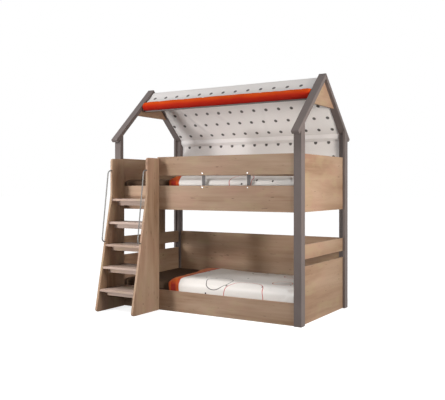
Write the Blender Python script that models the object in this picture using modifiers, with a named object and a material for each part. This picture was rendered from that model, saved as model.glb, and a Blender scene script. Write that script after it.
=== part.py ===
"""House-shaped bunk bed: posts, boards, ladder, roof frame, fabric roof and bedding.

Metres, +Z up. +X runs along the bed to its foot end and +Y to its back. The origin is at floor
level, midway between the toe of the ladder and the eave at the back.
"""
import math

import bmesh
import bpy
from mathutils import Matrix, Vector

# Mattresses, on whose standard size the bed is built
MATTRESS_LENGTH = 2.000
MATTRESS_WIDTH = 0.900
MATTRESS_THICK = 0.160
MATTRESS_END_PLAY = 0.0127
MATTRESS_SIDE_PLAY = 0.036
MATTRESS_ROUND = 0.030
MATTRESS_CROWN = 0.004
MATTRESS_WAIST = 0.004

# Roof line: it meets the outer faces of the posts at a rise above the tops of the upper boards
EAVE_RISE = 0.242
ROOF_PITCH = math.radians(45)
EAVE_OVERHANG = 0.054

# Play between two pieces that touch
FIT = 0.0003

# Posts, an L seen from above: a wall along the bed and a wall across its end
POST_WIDTH = 0.075
POST_DEPTH = 0.072
POST_LONG_WALL = 0.045
POST_END_WALL = 0.025
POST_EDGE = 0.0025

# Boards
BOARD = 0.022
BOARD_EDGE = 0.0015
FACE_RECESS = 0.012
FLOOR_CLEARANCE = 0.002

# Heights of the boards, from the floor up
LOWER_RAIL_TOP = 0.197
END_BOARD_TOP = 0.505
END_SLOT = 0.063
END_BATTEN_WIDTH = 0.150
END_BATTEN_INSET = 0.260
END_BATTEN_LAP = 0.050
LOWER_PANEL_TOP = 0.695
UPPER_PANEL_BOTTOM = 0.980
UPPER_RAIL_HEIGHT = 0.2325
GUARD_GAP = 0.0975
GUARD_HEIGHT = 0.182

# Straps that tie the guard board to the upper rail, set back from the foot end, and their screws
STRAP_SETBACKS = (0.965, 0.470)
STRAP_WIDTH = 0.038
STRAP_THICK = 0.003
STRAP_LAP = 0.034
STRAP_CORNER = 0.006
SCREW_HEAD_RADIUS = 0.0065
SCREW_HEAD_HEIGHT = 0.0032
SCREW_SHANK_RADIUS = 0.0030
SCREW_PLAY = 0.0004
SCREW_OVERRUN = 0.004

# Roof frame
RAFTER_THICK = 0.038
RAFTER_END_ROUND = 0.009
GABLE_HEIGHT = 0.247
GABLE_RECESS = 0.030
POLE_RADIUS = 0.015
EAVE_ROD_RADIUS = 0.012

# Purlin across the front slope, set under the face of the rafters, and its padded sleeve
PURLIN_OFFSET = 0.152
PURLIN_THICK = 0.030
PURLIN_HEIGHT = 0.080
PURLIN_INSET = 0.009
SLEEVE_RADIUS = 0.044
SLEEVE_SEAT = 0.028
SLEEVE_END_GAP = 0.005
SLEEVE_PLAY = 0.001
SLEEVE_EDGE = 0.002

# Ladder, its depths counted from the face of the rails
LADDER_FOOT = 0.388
LADDER_HEAD = 0.175
LADDER_KNEE_HEIGHT = 1.127
LADDER_POST_GAP = 0.018
LADDER_CLEAR_WIDTH = 0.425
CHEEK = 0.025
CHEEK_TOP_DROP = 0.012
CHEEK_CORNER = 0.025
CHEEK_KNEE_ROUND = 0.300
CHEEK_EDGE = 0.003
TREAD_SHARES = (0.176, 0.354, 0.530, 0.709, 0.894)
TREAD_INSET = 0.002
APRON_HEIGHT = 0.044
APRON_SETBACK = 0.080
HANDRAIL_RADIUS = 0.006
HANDRAIL_STANDOFF = 0.041
HANDRAIL_BEND = 0.034
HANDRAIL_TOP_DROP = 0.132
HANDRAIL_BOTTOM = 0.665

# Slatted bases and the ledges that carry them
LEDGE_HEIGHT = 0.022
LEDGE_DEPTH = 0.030
LOWER_LEDGE_RISE = 0.050
UPPER_LEDGE_RISE = 0.069
BASE_END_PLAY = 0.005
BASE_SIDE_PLAY = 0.011
STRETCHER_WIDTH = 0.030
STRETCHER_HEIGHT = 0.028
SLAT_THICK = 0.014
SLAT_LET_IN = 0.002
SLAT_WIDTH = 0.070
SLAT_INSET = 0.004
SLAT_COUNT = 14

# Duvets, drawn over the long edges of the mattress
DUVET_LENGTH = 1.565
DUVET_HEAD_SLANT = 0.200
DUVET_FOOT_GAP = 0.035
DUVET_PLAY = 0.0006
DUVET_SIDE_PLAY = 0.002
DUVET_LOFT = 0.028
DUVET_PUFF = 0.008
DUVET_SKIRT_LOFT = 0.018
DUVET_HEM_LOFT = 0.008
DUVET_RIM = 0.110
DUVET_DROP = 0.118
DUVET_CHANNEL_PITCH = 0.230

# Fabric roof
CLOTH_THICK = 0.0025
CLOTH_PLAY = 0.0008
CLOTH_SIDE_GAP = 0.004
CLOTH_RIDGE_DROP = 0.028
CLOTH_BACK_GAP = 0.006
CLOTH_EAVE_SLACK = 0.009
CLOTH_HEM_LAP = 0.087
CLOTH_SAG = 0.009
CLOTH_WAVE = 0.0022
CLOTH_WAVE_PITCH = 0.340
CREASE_DEPTH = 0.005
CREASE_WIDTH = 0.045
CREASE_SHARES = ((0.06, 0.05, 0.26, 0.95), (0.22, 0.02, 0.37, 0.55), (0.66, 0.10, 0.60, 0.98))

# Facets
ARC_STEPS = 6
TURN_STEPS = 16
ROD_SIDES = 20
SLEEVE_SIDES = 28
ROUND_SHARES = (0, 0.55, 1)
CLOTH_COLUMNS = 18
CLOTH_RUN = 0.095
DUVET_COLUMNS = 18
DUVET_RUN = 0.085
CUTTER_OVERRUN = 0.100

# Where the named faces lie, worked out from the sizes above
BED_LENGTH = MATTRESS_LENGTH + 2 * (MATTRESS_END_PLAY + BOARD + FIT + POST_END_WALL)
BED_DEPTH = MATTRESS_WIDTH + 2 * (MATTRESS_SIDE_PLAY + BOARD + FACE_RECESS)
UPPER_RAIL_TOP = UPPER_PANEL_BOTTOM + UPPER_RAIL_HEIGHT
GUARD_BOTTOM = UPPER_RAIL_TOP + GUARD_GAP
UPPER_PANEL_TOP = GUARD_BOTTOM + GUARD_HEIGHT
SLOPE = math.tan(ROOF_PITCH)
RIDGE_HEIGHT = UPPER_PANEL_TOP + EAVE_RISE + SLOPE * BED_DEPTH / 2
RAFTER_UNDERSIDE = RIDGE_HEIGHT - RAFTER_THICK / math.cos(ROOF_PITCH)
LADDER_LEAN = (LADDER_FOOT - LADDER_HEAD) / LADDER_KNEE_HEIGHT
TOE_INSET = CHEEK_CORNER * (LADDER_LEAN + math.hypot(1, LADDER_LEAN) - 1)
TOTAL_DEPTH = EAVE_OVERHANG + BED_DEPTH - FACE_RECESS + FIT + LADDER_FOOT - TOE_INSET
BACK_Y = TOTAL_DEPTH / 2 - EAVE_OVERHANG
FRONT_Y = BACK_Y - BED_DEPTH
RIDGE_Y = (FRONT_Y + BACK_Y) / 2
HALF_LENGTH = BED_LENGTH / 2
BAY_X = HALF_LENGTH - POST_WIDTH
RAIL_FACE_Y = FRONT_Y + FACE_RECESS
RAIL_BACK_Y = RAIL_FACE_Y + BOARD
PANEL_FACE_Y = BACK_Y - FACE_RECESS
PANEL_INNER_Y = PANEL_FACE_Y - BOARD
LADDER_BACK_Y = RAIL_FACE_Y - FIT
CHEEK_LEFT_X = -BAY_X + LADDER_POST_GAP
CHEEK_RIGHT_X = CHEEK_LEFT_X + CHEEK + LADDER_CLEAR_WIDTH


def clear_scene():
    """Remove every object and make the two collections."""
    for old in list(bpy.data.objects):
        bpy.data.objects.remove(old, do_unlink=True)
    for name in ("bunk_bed", "cutters"):
        group = bpy.data.collections.new(name)
        bpy.context.scene.collection.children.link(group)


def make_material(name, colour, roughness, metallic=0.0):
    """A Principled BSDF with one colour."""
    made = bpy.data.materials.new(name)
    made.use_nodes = True
    shader = made.node_tree.nodes["Principled BSDF"]
    shader.inputs["Base Color"].default_value = (*colour, 1.0)
    shader.inputs["Roughness"].default_value = roughness
    shader.inputs["Metallic"].default_value = metallic
    return made


def make_materials():
    """Every finish on the bed, by name."""
    return {
        "oak": make_material("light_oak", (0.50, 0.33, 0.21), 0.55),
        "grey": make_material("grey_lacquer", (0.16, 0.13, 0.12), 0.45),
        "pine": make_material("pine", (0.66, 0.50, 0.33), 0.60),
        "steel": make_material("steel", (0.55, 0.55, 0.56), 0.30, 1.0),
        "cloth": make_material("canopy_cloth", (0.72, 0.70, 0.68), 0.85),
        "padding": make_material("orange_padding", (0.75, 0.10, 0.02), 0.75),
        "sheet": make_material("mattress_sheet", (0.16, 0.12, 0.09), 0.90),
        "duvet": make_material("duvet_cotton", (0.80, 0.78, 0.77), 0.85),
    }


def place(name, mesh, finish, location=(0, 0, 0), rotation=(0, 0, 0), group="bunk_bed"):
    """Link a new object with its mesh or curve, finish and place."""
    made = bpy.data.objects.new(name, mesh)
    made.location = location
    made.rotation_euler = rotation
    if finish:
        mesh.materials.append(finish)
    bpy.data.collections[group].objects.link(made)
    return made


def hide_guide(guide):
    """Show a cutter as wire and leave it out of renders."""
    guide.hide_render = True
    guide.display_type = "WIRE"
    return guide


def soften(piece, width, segments=2):
    """Round the sharp edges of a mesh."""
    bevel = piece.modifiers.new("soft_edges", "BEVEL")
    bevel.width = width
    bevel.segments = segments
    bevel.limit_method = "ANGLE"
    bevel.angle_limit = math.radians(40)


def cut(piece, cutter, operation="DIFFERENCE"):
    """Add one exact Boolean."""
    step = piece.modifiers.new(cutter.name, "BOOLEAN")
    step.operation = operation
    step.solver = "EXACT"
    step.object = cutter


def to_mesh(work, name):
    """A mesh from bmesh work, which is then freed."""
    mesh = bpy.data.meshes.new(name)
    work.to_mesh(mesh)
    work.free()
    return mesh


def smooth(mesh, angle=40):
    """Shade round faces smooth and keep the sharp edges."""
    mesh.shade_smooth()
    mesh.set_sharp_from_angle(angle=math.radians(angle))


def cube_mesh(name, size):
    """A cube primitive at the origin, scaled to a size."""
    work = bmesh.new()
    bmesh.ops.create_cube(work, size=1)
    bmesh.ops.scale(work, vec=size, verts=work.verts)
    return to_mesh(work, name)


def board(name, low, high, finish, edge=BOARD_EDGE):
    """A board between two corners, with softened edges."""
    size = [top - bottom for bottom, top in zip(low, high)]
    middle = [(top + bottom) / 2 for bottom, top in zip(low, high)]
    made = place(name, cube_mesh(name, size), finish, middle)
    soften(made, edge)
    return made


def cylinder(name, radius, length, sides, finish, centre, rotation, group="bunk_bed"):
    """A capped cylinder along its own Z."""
    work = bmesh.new()
    bmesh.ops.create_cone(
        work, cap_ends=True, segments=sides, radius1=radius, radius2=radius, depth=length
    )
    mesh = to_mesh(work, name)
    smooth(mesh)
    return place(name, mesh, finish, centre, rotation, group)


def corner_arc(before, corner, after, radius):
    """Centre and ends of the arc that rounds a corner of an outline."""
    corner = Vector(corner)
    back = (Vector(before) - corner).normalized()
    ahead = (Vector(after) - corner).normalized()
    half = back.angle(ahead) / 2
    reach = radius / math.tan(half)
    centre = corner + (back + ahead).normalized() * radius / math.sin(half)
    return centre, corner + back * reach, corner + ahead * reach


def rounded(corners, closed=True, steps=ARC_STEPS):
    """An outline from (u, v, radius) corners, each one with its radius."""
    points = []
    count = len(corners)
    for index, (u, v, radius) in enumerate(corners):
        inner = closed or 0 < index < count - 1
        if not radius or not inner:
            points.append(Vector((u, v)))
            continue
        before = corners[index - 1][:2]
        after = corners[(index + 1) % count][:2]
        centre, start, end = corner_arc(before, (u, v), after, radius)
        sweep = (start - centre).angle_signed(end - centre)
        for step in range(steps + 1):
            turn = Matrix.Rotation(-sweep * step / steps, 2)
            points.append(centre + turn @ (start - centre))
    return points


def outline_mesh(name, outline, thickness):
    """A filled 2D curve made a closed mesh: the outline in its own XY, thickness along Z."""
    curve = bpy.data.curves.new(name, "CURVE")
    curve.dimensions = "2D"
    curve.fill_mode = "BOTH"
    curve.extrude = thickness / 2
    spline = curve.splines.new("POLY")
    spline.points.add(len(outline) - 1)
    for point, (u, v) in zip(spline.points, outline):
        point.co = (u, v, 0, 1)
    spline.use_cyclic_u = True
    carrier = bpy.data.objects.new(name + "_outline", curve)
    bpy.context.scene.collection.objects.link(carrier)
    bpy.context.view_layer.update()
    evaluated = carrier.evaluated_get(bpy.context.evaluated_depsgraph_get())
    mesh = bpy.data.meshes.new_from_object(evaluated)
    bpy.data.objects.remove(carrier, do_unlink=True)
    bpy.data.curves.remove(curve)
    mesh.name = name
    work = bmesh.new()
    work.from_mesh(mesh)
    bmesh.ops.remove_doubles(work, verts=work.verts, dist=FIT / 10)
    bmesh.ops.dissolve_limit(
        work, angle_limit=math.radians(0.5), verts=work.verts, edges=work.edges
    )
    bmesh.ops.recalc_face_normals(work, faces=work.faces)
    work.to_mesh(mesh)
    work.free()
    return mesh


def side_piece(name, outline, x_middle, thickness, finish, edge):
    """A piece whose outline lies in the YZ plane and whose thickness runs along X."""
    upright = (math.pi / 2, 0, math.pi / 2)
    mesh = outline_mesh(name, outline, thickness)
    made = place(name, mesh, finish, (x_middle, 0, 0), upright)
    soften(made, edge)
    return made


def roof_side(front):
    """The sign of Y from the ridge: -1 for the front slope and 1 for the back one."""
    return -1 if front else 1


def make_roof_cutter(front):
    """A slab above the underside of the rafters, which mitres the posts."""
    name = "roof_cutter_" + ("front" if front else "back")
    side = roof_side(front)
    size = (BED_LENGTH + 2 * CUTTER_OVERRUN, BED_DEPTH + EAVE_OVERHANG, CUTTER_OVERRUN + POST_WIDTH)
    slab = place(name, cube_mesh(name, size), None, group="cutters")
    slab.rotation_euler = (-side * ROOF_PITCH, 0, 0)
    rise = Vector((0, side * math.sin(ROOF_PITCH), math.cos(ROOF_PITCH)))
    fall = Vector((0, side * math.cos(ROOF_PITCH), -math.sin(ROOF_PITCH)))
    apex = Vector((0, RIDGE_Y, RAFTER_UNDERSIDE))
    slab.location = apex + fall * (size[1] / 2 - CUTTER_OVERRUN) + rise * (size[2] / 2 - FIT)
    return hide_guide(slab)


def make_post(name, x_side, front, finish, cutter):
    """One post, with its open corner to the inside and its top cut to the pitch."""
    y_outer = FRONT_Y if front else BACK_Y
    inward = 1 if front else -1
    x_outer = x_side * HALF_LENGTH
    corners = (
        (0, 0),
        (POST_WIDTH, 0),
        (POST_WIDTH, POST_LONG_WALL),
        (POST_END_WALL, POST_LONG_WALL),
        (POST_END_WALL, POST_DEPTH),
        (0, POST_DEPTH),
    )
    outline = [(x_outer - x_side * u, y_outer + inward * v) for u, v in corners]
    height = RAFTER_UNDERSIDE - SLOPE * (BED_DEPTH / 2 - POST_DEPTH) + CUTTER_OVERRUN / 2
    post = place(name, outline_mesh(name, outline, height), finish, (0, 0, height / 2))
    cut(post, cutter)
    soften(post, POST_EDGE)
    return post


def make_rafter(name, x_side, front, finish):
    """One rafter: square end at the eave with rounded corners, plumb cut at the ridge."""
    side = roof_side(front)
    sine, cosine = math.sin(ROOF_PITCH), math.cos(ROOF_PITCH)
    run = BED_DEPTH / 2 + EAVE_OVERHANG + RAFTER_END_ROUND * (sine + cosine - 1)
    eave = (run, RIDGE_HEIGHT - SLOPE * run)
    heel = (run - RAFTER_THICK * sine, eave[1] - RAFTER_THICK * cosine)
    corners = (
        (FIT / 2, RIDGE_HEIGHT - SLOPE * FIT / 2, 0),
        (*eave, RAFTER_END_ROUND),
        (*heel, RAFTER_END_ROUND),
        (FIT / 2, RAFTER_UNDERSIDE - SLOPE * FIT / 2, 0),
    )
    outline = rounded([(RIDGE_Y + side * u, v, radius) for u, v, radius in corners])
    x_middle = x_side * (HALF_LENGTH - POST_WIDTH / 2)
    return side_piece(name, outline, x_middle, POST_WIDTH, finish, POST_EDGE)


def make_gable_board(name, x_side, finish):
    """The triangular board that ties two rafters under the ridge."""
    drop = FIT / math.cos(ROOF_PITCH)
    peak = RAFTER_UNDERSIDE - drop
    half_base = GABLE_HEIGHT / SLOPE
    outline = (
        (RIDGE_Y - half_base, peak - GABLE_HEIGHT),
        (RIDGE_Y + half_base, peak - GABLE_HEIGHT),
        (RIDGE_Y, peak),
    )
    x_middle = x_side * (HALF_LENGTH - GABLE_RECESS - BOARD / 2)
    return side_piece(name, outline, x_middle, BOARD, finish, BOARD_EDGE)


def make_roof_frame(finishes):
    """Posts, rafters and gable boards."""
    cutters = {front: make_roof_cutter(front) for front in (True, False)}
    for end, x_side in (("left", -1), ("right", 1)):
        for row, front in (("front", True), ("rear", False)):
            make_post(f"post_{row}_{end}", x_side, front, finishes["grey"], cutters[front])
            make_rafter(f"rafter_{row}_{end}", x_side, front, finishes["grey"])
        make_gable_board(f"gable_board_{end}", x_side, finishes["oak"])


def make_long_boards(finishes):
    """The boards between the posts on the front and at the back."""
    oak = finishes["oak"]
    reach = BAY_X - FIT
    front = (RAIL_FACE_Y, RAIL_BACK_Y)
    back = (PANEL_INNER_Y, PANEL_FACE_Y)
    rows = (
        ("rail_lower_front", -reach, front, FLOOR_CLEARANCE, LOWER_RAIL_TOP),
        ("rail_upper_front", -reach, front, UPPER_PANEL_BOTTOM, UPPER_RAIL_TOP),
        ("guard_board_front", CHEEK_RIGHT_X, front, GUARD_BOTTOM, UPPER_PANEL_TOP),
        ("panel_lower_back", -reach, back, FLOOR_CLEARANCE, LOWER_PANEL_TOP),
        ("panel_upper_back", -reach, back, UPPER_PANEL_BOTTOM, UPPER_PANEL_TOP),
    )
    made = {}
    for name, start, (y_low, y_high), bottom, top in rows:
        made[name] = board(name, (start, y_low, bottom), (reach, y_high, top), oak)
    return made


def make_end_boards(finishes):
    """The boards across the two ends, let into the open corners of the posts, and the batten
    on the outside of the left ones."""
    outer = HALF_LENGTH - POST_END_WALL - FIT
    y_low = FRONT_Y + POST_LONG_WALL + FIT
    y_high = BACK_Y - POST_LONG_WALL - FIT
    rows = (
        ("end_board_lower", FLOOR_CLEARANCE, END_BOARD_TOP),
        ("end_rail_lower", END_BOARD_TOP + END_SLOT, LOWER_PANEL_TOP),
        ("end_board_upper", UPPER_PANEL_BOTTOM, UPPER_PANEL_TOP),
    )
    for end, x_side in (("left", -1), ("right", 1)):
        x_low, x_high = sorted((x_side * outer, x_side * (outer - BOARD)))
        for name, bottom, top in rows:
            low = (x_low, y_low, bottom)
            board(f"{name}_{end}", low, (x_high, y_high, top), finishes["oak"])
    x_high = -outer - FIT
    y_high = BACK_Y - END_BATTEN_INSET
    low = (x_high - BOARD, y_high - END_BATTEN_WIDTH, END_BOARD_TOP - END_BATTEN_LAP)
    high = (x_high, y_high, UPPER_PANEL_BOTTOM + END_BATTEN_LAP)
    board("end_batten_left", low, high, finishes["oak"])


def make_strap(name, x_middle, finish):
    """A flat steel bar with rounded corners and two holes, its face towards -Y."""
    half_width = STRAP_WIDTH / 2
    bottom = UPPER_RAIL_TOP - STRAP_LAP
    top = GUARD_BOTTOM + STRAP_LAP
    corners = (
        (-half_width, bottom, STRAP_CORNER),
        (half_width, bottom, STRAP_CORNER),
        (half_width, top, STRAP_CORNER),
        (-half_width, top, STRAP_CORNER),
    )
    mesh = outline_mesh(name, rounded(corners, steps=3), STRAP_THICK)
    y_middle = RAIL_BACK_Y + FIT + STRAP_THICK / 2
    return place(name, mesh, finish, (x_middle, y_middle, 0), (math.pi / 2, 0, 0))


def make_screw(name, x, z, finish):
    """A dome-headed screw through a board and a strap, turned about its own Z."""
    shank = BOARD + FIT + STRAP_THICK
    profile = []
    for step in range(ARC_STEPS):
        angle = step / ARC_STEPS * math.pi / 2
        u = SCREW_HEAD_RADIUS * math.sin(angle)
        profile.append((u, SCREW_HEAD_HEIGHT * math.cos(angle)))
    profile.append((SCREW_HEAD_RADIUS, 0))
    profile.append((SCREW_SHANK_RADIUS, 0))
    profile.append((SCREW_SHANK_RADIUS, -shank))
    profile.append((0, -shank))
    work = bmesh.new()
    points = [work.verts.new((u, 0, v)) for u, v in profile]
    for start, end in zip(points, points[1:]):
        work.edges.new((start, end))
    mesh = to_mesh(work, name)
    made = place(name, mesh, finish, (x, RAIL_FACE_Y - FIT, z), (math.pi / 2, 0, 0))
    turn = made.modifiers.new("turned", "SCREW")
    turn.steps = TURN_STEPS
    turn.render_steps = TURN_STEPS
    turn.use_merge_vertices = True
    turn.merge_threshold = FIT / 10
    turn.use_smooth_shade = True
    return made


def make_straps(finishes, boards):
    """Both straps, their screws, and the bores that the screws pass through."""
    steel = finishes["steel"]
    levels = (
        ("rail_upper_front", UPPER_RAIL_TOP - STRAP_LAP / 2),
        ("guard_board_front", GUARD_BOTTOM + STRAP_LAP / 2),
    )
    depth = BOARD + STRAP_THICK + 2 * SCREW_OVERRUN
    y_middle = (RAIL_FACE_Y + RAIL_BACK_Y) / 2
    for place_index, setback in enumerate(STRAP_SETBACKS, start=1):
        x = BAY_X - setback
        strap = make_strap(f"guard_strap_{place_index}", x, steel)
        for level_index, (board_name, z) in enumerate(levels, start=1):
            name = f"strap_screw_{place_index}_{level_index}"
            make_screw(name, x, z, steel)
            radius = SCREW_SHANK_RADIUS + SCREW_PLAY
            bore = cylinder(
                name + "_bore", radius, depth, TURN_STEPS, None, (x, y_middle, z),
                (math.pi / 2, 0, 0), "cutters",
            )
            hide_guide(bore)
            cut(boards[board_name], bore)
            cut(strap, bore)
        soften(strap, STRAP_THICK / 6, 1)


def cheek_depth(z):
    """How far a ladder cheek reaches in front of the rails at a height."""
    return max(LADDER_HEAD, LADDER_FOOT - LADDER_LEAN * z)


def make_cheek(name, x_left, finish):
    """One side of the ladder: upright at the head, leaning out to the foot."""
    y_head = LADDER_BACK_Y - LADDER_HEAD
    y_foot = LADDER_BACK_Y - LADDER_FOOT
    z_head = UPPER_PANEL_TOP - CHEEK_TOP_DROP
    corners = (
        (LADDER_BACK_Y, 0, 0),
        (LADDER_BACK_Y, z_head, 0),
        (y_head, z_head, CHEEK_CORNER),
        (y_head, LADDER_KNEE_HEIGHT, CHEEK_KNEE_ROUND),
        (y_foot, 0, CHEEK_CORNER),
    )
    x_middle = x_left + CHEEK / 2
    return side_piece(name, rounded(corners), x_middle, CHEEK, finish, CHEEK_EDGE)


def make_steps(finishes):
    """Five treads, each with an apron set back under it."""
    oak = finishes["oak"]
    x_low = CHEEK_LEFT_X + CHEEK + FIT
    x_high = CHEEK_RIGHT_X - FIT
    for index, share in enumerate(TREAD_SHARES, start=1):
        top = share * UPPER_RAIL_TOP
        y_front = LADDER_BACK_Y - cheek_depth(top) + TREAD_INSET
        bottom = top - BOARD
        low = (x_low, y_front, bottom)
        board(f"tread_{index}", low, (x_high, LADDER_BACK_Y, top), oak, CHEEK_EDGE)
        y_apron = y_front + APRON_SETBACK
        apron_top = bottom - FIT
        low = (x_low, y_apron, apron_top - APRON_HEIGHT)
        board(f"apron_{index}", low, (x_high, y_apron + BOARD, apron_top), oak)


def front_point(z):
    """A point on the front edge of the cheeks and the way it faces, in (y, z)."""
    leaning = z < LADDER_KNEE_HEIGHT
    lean = LADDER_LEAN if leaning else 0
    facing = Vector((-1, lean)).normalized()
    return Vector((LADDER_BACK_Y - cheek_depth(z), z)), facing


def make_handrail(name, x, finish):
    """A bent steel rod whose two feet stand square on the front edge of a cheek."""
    top, top_facing = front_point(UPPER_PANEL_TOP - HANDRAIL_TOP_DROP)
    bottom, bottom_facing = front_point(HANDRAIL_BOTTOM)
    corners = (
        (*(top + top_facing * FIT), 0),
        (*(top + top_facing * HANDRAIL_STANDOFF), HANDRAIL_BEND),
        (*(bottom + bottom_facing * HANDRAIL_STANDOFF), HANDRAIL_BEND),
        (*(bottom + bottom_facing * FIT), 0),
    )
    path = rounded(corners, closed=False)
    curve = bpy.data.curves.new(name, "CURVE")
    curve.dimensions = "3D"
    curve.bevel_depth = HANDRAIL_RADIUS
    curve.bevel_resolution = 2
    curve.use_fill_caps = True
    spline = curve.splines.new("POLY")
    spline.points.add(len(path) - 1)
    for point, (y, z) in zip(spline.points, path):
        point.co = (0, y, z, 1)
    spline.use_smooth = True
    return place(name, curve, finish, (x, 0, 0))


def make_ladder(finishes):
    """Cheeks, steps and handrails."""
    for end, x_left in (("left", CHEEK_LEFT_X), ("right", CHEEK_RIGHT_X)):
        make_cheek(f"ladder_cheek_{end}", x_left, finishes["oak"])
        make_handrail(f"handrail_{end}", x_left + CHEEK / 2, finishes["steel"])
    make_steps(finishes)


def make_base(level, ledge_bottom, finishes):
    """Two ledges and the slatted base that rests on them. Returns the height of the slats."""
    reach = BAY_X - FIT
    top = ledge_bottom + LEDGE_HEIGHT
    front = (RAIL_BACK_Y + FIT, RAIL_BACK_Y + FIT + LEDGE_DEPTH)
    back = (PANEL_INNER_Y - FIT - LEDGE_DEPTH, PANEL_INNER_Y - FIT)
    for row, (y_low, y_high) in (("front", front), ("back", back)):
        low = (-reach, y_low, ledge_bottom)
        board(f"ledge_{level}_{row}", low, (reach, y_high, top), finishes["pine"])
    base_length = 2 * (BAY_X - BASE_END_PLAY)
    stretcher_bottom = top + FIT
    stretcher_top = stretcher_bottom + STRETCHER_HEIGHT
    slat_top = stretcher_top - SLAT_LET_IN + SLAT_THICK
    half_width = RIDGE_Y - RAIL_BACK_Y - BASE_SIDE_PLAY
    stretchers = bmesh.new()
    y_middle = half_width - STRETCHER_WIDTH / 2
    for side in (-1, 1):
        made = bmesh.ops.create_cube(stretchers, size=1)["verts"]
        size = (base_length, STRETCHER_WIDTH, STRETCHER_HEIGHT)
        bmesh.ops.scale(stretchers, vec=size, verts=made)
        bmesh.ops.translate(stretchers, vec=(0, side * y_middle, 0), verts=made)
    middle = (0, RIDGE_Y, (stretcher_bottom + stretcher_top) / 2)
    guide_name = f"stretchers_{level}"
    frame = place(guide_name, to_mesh(stretchers, guide_name), None, middle, group="cutters")
    hide_guide(frame)
    slats = bmesh.new()
    first = -base_length / 2 + SLAT_INSET + SLAT_WIDTH / 2
    pitch = -2 * first / (SLAT_COUNT - 1)
    for index in range(SLAT_COUNT):
        made = bmesh.ops.create_cube(slats, size=1)["verts"]
        size = (SLAT_WIDTH, 2 * (half_width - SLAT_INSET), SLAT_THICK)
        bmesh.ops.scale(slats, vec=size, verts=made)
        bmesh.ops.translate(slats, vec=(first + index * pitch, 0, 0), verts=made)
    name = f"slat_base_{level}"
    middle = (0, RIDGE_Y, slat_top - SLAT_THICK / 2)
    base = place(name, to_mesh(slats, name), finishes["pine"], middle)
    cut(base, frame, "UNION")
    return slat_top


def mattress_top(x, y, top):
    """Height of the crowned top of a mattress, x and y from its middle."""
    along = 1 - (2 * x / MATTRESS_LENGTH) ** 2
    across = 1 - (2 * y / MATTRESS_WIDTH) ** 2
    return top - MATTRESS_CROWN * (1 - max(along, 0) * max(across, 0))


def stations(half, round_off, inner):
    """Cage lines across a padded side: close together where its edges turn."""
    flat = half - round_off
    turn = [flat + round_off * share for share in ROUND_SHARES]
    middle = [flat * (2 * step / inner - 1) for step in range(1, inner)]
    return [-value for value in reversed(turn)] + middle + turn


def make_mattress(level, bottom, finish):
    """A padded block with rounded edges, a crowned top and slightly drawn-in sides."""
    half = Vector((MATTRESS_LENGTH / 2, MATTRESS_WIDTH / 2, MATTRESS_THICK / 2))
    lines = (
        stations(half.x, MATTRESS_ROUND, 6),
        stations(half.y, MATTRESS_ROUND, 4),
        stations(half.z, MATTRESS_ROUND, 2),
    )
    work = bmesh.new()
    bmesh.ops.create_cube(work, size=2)
    for axis in range(3):
        for value in lines[axis][1:-1]:
            normal = Vector([float(axis == each) for each in range(3)])
            share = value / half[axis]
            everything = work.verts[:] + work.edges[:] + work.faces[:]
            bmesh.ops.bisect_plane(work, geom=everything, plane_co=normal * share, plane_no=normal)
    for vert in work.verts:
        point = Vector([share * size for share, size in zip(vert.co, half)])
        core = Vector([max(-size + MATTRESS_ROUND, min(size - MATTRESS_ROUND, value))
                       for value, size in zip(point, half)])
        offset = point - core
        if offset.length:
            point = core + offset.normalized() * MATTRESS_ROUND
        waist = MATTRESS_WAIST * (1 - abs(vert.co.z))
        for axis in (0, 1):
            if abs(vert.co[axis]) == 1:
                point[axis] -= math.copysign(waist, vert.co[axis])
        if vert.co.z == 1:
            point.z += mattress_top(point.x, point.y, 0)
        vert.co = point
    name = f"mattress_{level}"
    mesh = to_mesh(work, name)
    smooth(mesh, 60)
    place(name, mesh, finish, (0, RIDGE_Y, bottom + half.z))
    return bottom + MATTRESS_THICK


def even_path(points, run):
    """The same path with its long straight stretches divided."""
    divided = [points[0]]
    for start, end in zip(points, points[1:]):
        count = max(1, round((end - start).length / run))
        divided += [start.lerp(end, step / count) for step in range(1, count + 1)]
    return divided


def path_frames(points):
    """Each point of a path with its left-hand normal and the length of path before it."""
    lengths = [0.0]
    for start, end in zip(points, points[1:]):
        lengths.append(lengths[-1] + (end - start).length)
    frames = []
    for index, point in enumerate(points):
        before = points[max(index - 1, 0)]
        after = points[min(index + 1, len(points) - 1)]
        along = (after - before).normalized()
        frames.append((point, Vector((-along.y, along.x)), lengths[index]))
    return frames


def sheet_mesh(name, columns, frames, position):
    """A closed sheet of two layers. position(share_x, frame, layer) gives each corner."""
    work = bmesh.new()
    rows = len(frames) - 1
    bmesh.ops.create_grid(work, x_segments=columns, y_segments=rows, size=1)
    added = bmesh.ops.extrude_face_region(work, geom=work.faces[:])["geom"]
    for item in added:
        if isinstance(item, bmesh.types.BMVert):
            item.co.z = 1
    for vert in work.verts:
        row = round((vert.co.y + 1) / 2 * rows)
        vert.co = position((vert.co.x + 1) / 2, frames[row], round(vert.co.z))
    bmesh.ops.recalc_face_normals(work, faces=work.faces)
    mesh = to_mesh(work, name)
    smooth(mesh, 50)
    return mesh


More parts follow.
